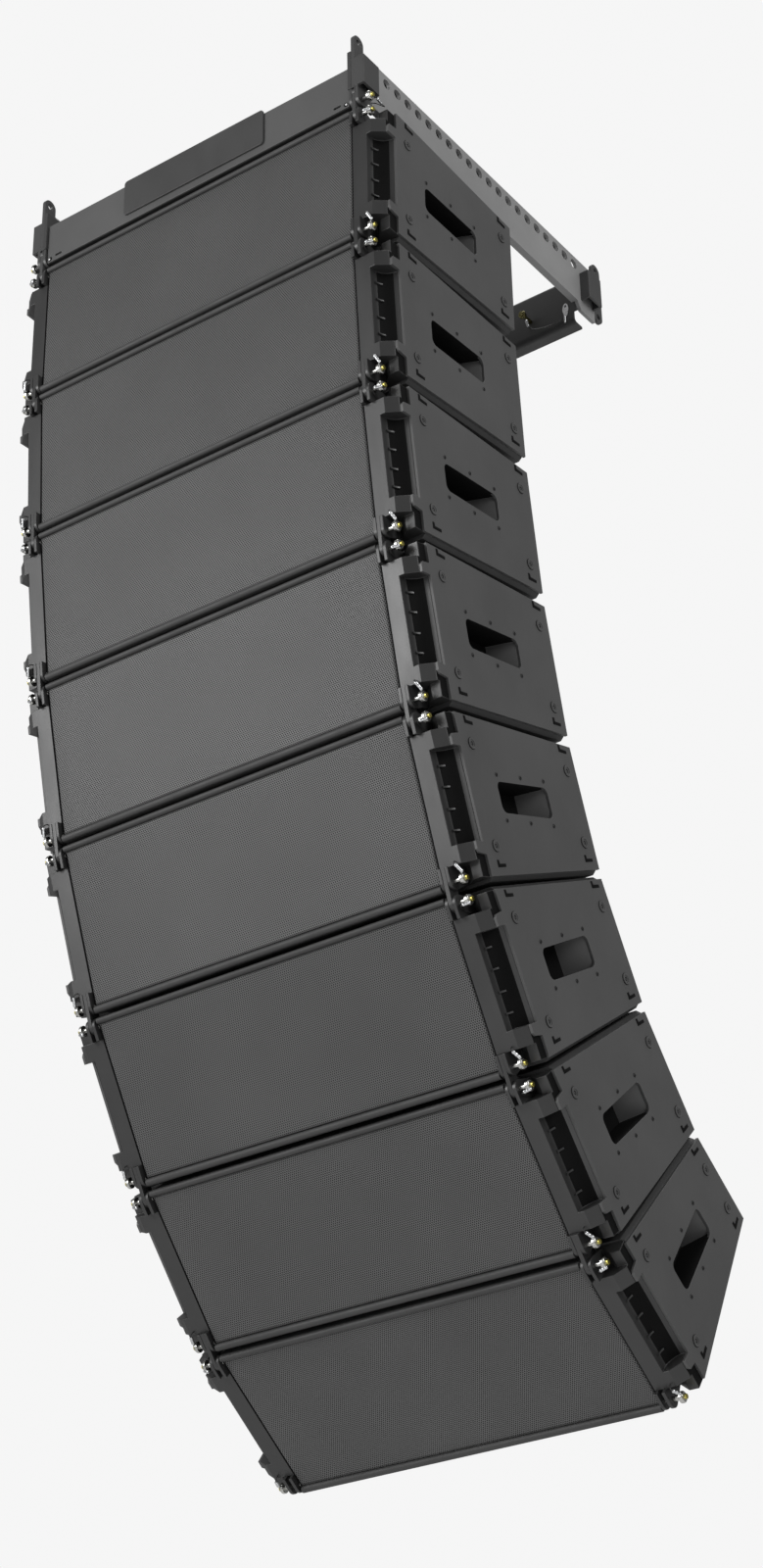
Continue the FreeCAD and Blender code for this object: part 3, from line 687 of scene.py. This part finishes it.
for number in MODULES:
    body = f"module_{number}"
    softened(f"cabinet_{number}", body, cabinet_coat, 1.0)
    softened(f"side_plates_{number}", body, plate_coat, 0.7,
             [(in_hand_cup(number), recess_painted_shade_coat)])
    softened(f"rigging_{number}", body, casing_coat, 1.0,
             [(in_pocket(number), recess_painted_shade_coat)])
    grille(number)
    cup_screws(number)
    bolts_with_painted_shade_rings(number)
    corner_marks(number)
    pocket_ribs(number)
    rear_sockets(number)
    nodes[f"drivers_{number}"].data.materials.clear()
    nodes[f"drivers_{number}"].data.materials.append(driver_coat)
    for name, side in SIDES:
        softened(f"pins_{name}_{number}", f"pins_{name}_{number}", pin_metal, 0.5)
        pin_lanyards(number, name, side)

# ================= top frame =================
PICK_HOLES = 20
PICK_HOLE_FIRST = 105.2
PICK_HOLE_PITCH = 38.1
PICK_HOLE_HEIGHT = 140.0
PICK_HOLE_RADIUS = 12.0


def raised_badge(face):
    x, u, v = top.inside(face.calc_center_median())
    return u < -5.4


def front_pin(face):
    x, u, v = top.inside(face.calc_center_median())
    return abs(x) > 437.5 and -6 < u < 18 and -32 < v < -8


def stored_pin(face):
    x, u, v = top.inside(face.calc_center_median())
    return 280 < abs(x) < 316 and 790 < u < 870


def pierced_cell(bm, u, x, side):
    """Rings of vertices round one pick hole and round its cell of the web."""
    rings = []
    for on_rim in (False, True):
        places = []
        for step in range(24):
            angle = 2 * math.pi * step / 24
            across, down = math.cos(angle), math.sin(angle)
            reach = PICK_HOLE_RADIUS
            if on_rim:
                half_v = 23.5 if down < 0 else 18.6
                reach = min(PICK_HOLE_PITCH / 2 / max(abs(across), 1e-6), half_v / max(abs(down), 1e-6))
            places.append(bm.verts.new(top.at(side * x, u + reach * across, reach * down - PICK_HOLE_HEIGHT)))
        rings.append(places)
    return rings


def pick_hole_webs():
    """Inner webs of the box-section side plates, pierced in line with the pick holes, in the darker frame coat
    as painted shade inside the box section.
    """
    bm = bmesh.new()
    for _, side in SIDES:
        for hole in range(PICK_HOLES):
            u = PICK_HOLE_FIRST + PICK_HOLE_PITCH * hole
            inner, outer = [pierced_cell(bm, u, x, side) for x in (411.0, 412.8)]
            for rings in (inner, outer, (inner[0], outer[0]), (inner[1], outer[1])):
                skin(bm, rings, ends=False)
    from_bmesh("frame_pick_hole_webs", bm, "frame", frame_painted_shade_coat)


def marker_dots_and_painted_hole_shades():
    """Near-black discs with white dots at the fascia's lower corners, painted shade of a slot, and near-black
    discs on the ears' edges, painted shade of small holes.
    """
    dark, white = bmesh.new(), bmesh.new()
    for _, side in SIDES:
        turned_u(dark, top, side * 403.0, -16.0, [(-4.6, 5.2), (-5.5, 5.2), (-5.9, 4.8), (-5.9, 0.4)], 20)
        turned_u(white, top, side * 404.5, -15.0, [(-5.8, 2.2), (-6.6, 2.2), (-7.0, 1.6), (-7.1, 0.2)], 16)
        turned_u(dark, top, side * 425.0, -44.0, [(-10.6, 3.2), (-11.2, 3.2), (-11.2, 0.3)], 14)
    from_bmesh("fascia_and_ear_painted_hole_shades", dark, "frame", black_mark_and_shade_coat)
    from_bmesh("fascia_marker_dots", white, "frame", dot_coat)


def held_wire(bm, points):
    """Thin wire in a smooth curve through world places."""
    places = []
    padded = [points[0]] + points + [points[-1]]
    for a, b, c, d in zip(padded, padded[1:], padded[2:], padded[3:]):
        for index in range(6):
            t = index / 6
            places.append(0.5 * (2 * b + (c - a) * t + (2 * a - 5 * b + 4 * c - d) * t * t
                                 + (3 * b - a - 3 * c + d) * t ** 3))
    places.append(points[-1])
    tube(bm, places, WIRE_RADIUS)


def frame_lanyards():
    """Sleeves and wires of the frame's own pins and of the spare pins stored in its rear beam."""
    sleeves, wires, tags = bmesh.new(), bmesh.new(), bmesh.new()
    for _, side in SIDES:
        head = top.at(side * 459.0, PIN_U + 8, -PIN_V - 3)
        start = top.at(side * 461.0, PIN_U + 17, -PIN_V - 3)
        end = top.at(side * 461.0, PIN_U + 36, -PIN_V + 1)
        ferrule(sleeves, start, (end - start).normalized(), 18 * MM, 3.6 * MM)
        held_wire(wires, [head, start, end, top.at(side * 460.0, PIN_U + 45, -21.0),
                          top.at(side * 452.0, PIN_U + 49, -30.0), top.at(side * 440.0, PIN_U + 44, -40.0),
                          top.at(side * 430.0, PIN_U + 42, -45.0)])
        stored = top.at(side * 300.0, 809.0, -34.0)
        low_start = top.at(side * 306.0, 811.0, -25.0)
        low_end = top.at(side * 309.0, 813.0, -7.0)
        ferrule(sleeves, low_start, (low_end - low_start).normalized(), 18 * MM, 3.6 * MM)
        held_wire(wires, [stored, low_start, low_end, top.at(side * 322.0, 822.0, 2.0),
                          top.at(side * 358.0, 832.0, 1.0), top.at(side * 384.0, 838.0, -8.0),
                          top.at(side * 391.0, 839.0, -14.0)])
        tag_with_eye(tags, side)
        ferrule(sleeves, top.at(side * 391.5, 838.6, -12.0), Vector((0.0, 0.0, -1.0)), 16 * MM, 2.8 * MM)
    from_bmesh("frame_ferrules", sleeves, "frame", ferrule_metal)
    from_bmesh("frame_lanyards", wires, "frame", wire_coat)
    from_bmesh("frame_tags", tags, "frame", tag_metal)


def tag_with_eye(bm, side):
    """Flat bright tag with an eye at its upper end, hanging in front of the rear beam."""
    count, middle_x = 20, 393.5
    rim, eye = [], []
    for step in range(count):
        angle = 2 * math.pi * step / count
        across, up = math.cos(angle), math.sin(angle)
        width = 8.0 if -0.2 < up else 6.5
        rim.append((middle_x + width * across, 30.0 + (19.0 if up > 0 else 18.0) * up))
        eye.append((middle_x + 2.8 * across, 41.0 + 3.2 * up))
    loops = []
    for outline, u in ((rim, 839.4), (rim, 840.8), (eye, 840.8), (eye, 839.4)):
        loops.append([bm.verts.new(top.at(side * x, u, -z)) for x, z in outline])
    skin(bm, loops + loops[:1], ends=False)


softened("frame_rails", "frame", rail_coat, 0.8)
# The crossbeams take the darker frame coat, painted shade of their inner faces.
softened("frame_crossbeams", "frame", frame_painted_shade_coat, 1.0)
softened("frame_fascia", "frame", fascia_coat, 0.8, [(raised_badge, badge_coat)])
softened("frame_fittings", "frame", fitting_coat, 1.0,
         [(front_pin, pin_metal), (stored_pin, stored_metal)])
pick_hole_webs()
marker_dots_and_painted_hole_shades()
frame_lanyards()

# ================= stage, light and camera =================
FLOOR_DEPTH = 8.5
FLOOR_HALF = 40.0


def floor():
    bm = bmesh.new()
    cells = 8
    bmesh.ops.create_grid(bm, x_segments=cells, y_segments=cells, size=FLOOR_HALF)
    bmesh.ops.translate(bm, verts=bm.verts, vec=(0, 0, -FLOOR_DEPTH))
    mesh = bpy.data.meshes.new("floor")
    bm.to_mesh(mesh)
    bm.free()
    mesh.materials.append(coat("floor_pale", 0.80, 0.85, 40.0, 0.05, mottle=0.01))
    sheet = bpy.data.objects.new("floor", mesh)
    bpy.context.scene.collection.objects.link(sheet)


def softbox(name, place, target, size, watts):
    lamp = bpy.data.lights.new(name, "AREA")
    lamp.shape = "RECTANGLE"
    lamp.size, lamp.size_y = size
    lamp.energy = watts
    holder = bpy.data.objects.new(name, lamp)
    holder.location = place
    holder.rotation_euler = (Vector(target) - Vector(place)).to_track_quat("-Z", "Y").to_euler()
    bpy.context.scene.collection.objects.link(holder)


floor()
middle = (cad_box[0] + cad_box[1]) / 2
softbox("key_softbox", middle + Vector((-2.6, -5.6, 0.8)), middle + Vector((0.0, 0.0, 0.1)), (3.5, 3.5), 300)
softbox("side_softbox", middle + Vector((8.0, -1.5, 3.0)), middle, (3.0, 5.0), 330)
softbox("low_softbox", middle + Vector((0.0, -5.0, -5.5)), middle, (5.0, 3.0), 60)

overhead = bpy.data.lights.new("overhead_light", "SUN")
overhead.energy = 1.5
overhead.angle = math.radians(35)
holder = bpy.data.objects.new("overhead_light", overhead)
bpy.context.scene.collection.objects.link(holder)

world = bpy.data.worlds.new("studio")
world.use_nodes = True
sky = world.node_tree
backdrop = sky.nodes["Background"]
backdrop.inputs["Color"].default_value = (0.92, 0.92, 0.92, 1.0)
fill = put(sky, "ShaderNodeBackground", {"Color": (0.92, 0.92, 0.92, 1.0), "Strength": 0.26})
seen = put(sky, "ShaderNodeLightPath").outputs["Is Camera Ray"]
chosen = put(sky, "ShaderNodeMixShader", {0: seen, 1: fill.outputs[0], 2: backdrop.outputs[0]})
link(sky, chosen.outputs[0], sky.nodes["World Output"].inputs["Surface"])
scene = bpy.context.scene
scene.world = world
scene.view_settings.view_transform = "Standard"

CAMERA_PLACE = (3.0007, -3.9848, -4.2448)
CAMERA_TURN = (121.4951, 0.7846, 36.1601)
CAMERA_LENS = 66.295
CAMERA_SHIFT = (0.0079, -0.0575)
lens = bpy.data.cameras.new("camera")
lens.lens = CAMERA_LENS
lens.sensor_width = 36.0
lens.shift_x, lens.shift_y = CAMERA_SHIFT
camera = bpy.data.objects.new("camera", lens)
camera.location = CAMERA_PLACE
camera.rotation_euler = [math.radians(angle) for angle in CAMERA_TURN]
scene.collection.objects.link(camera)
scene.camera = camera
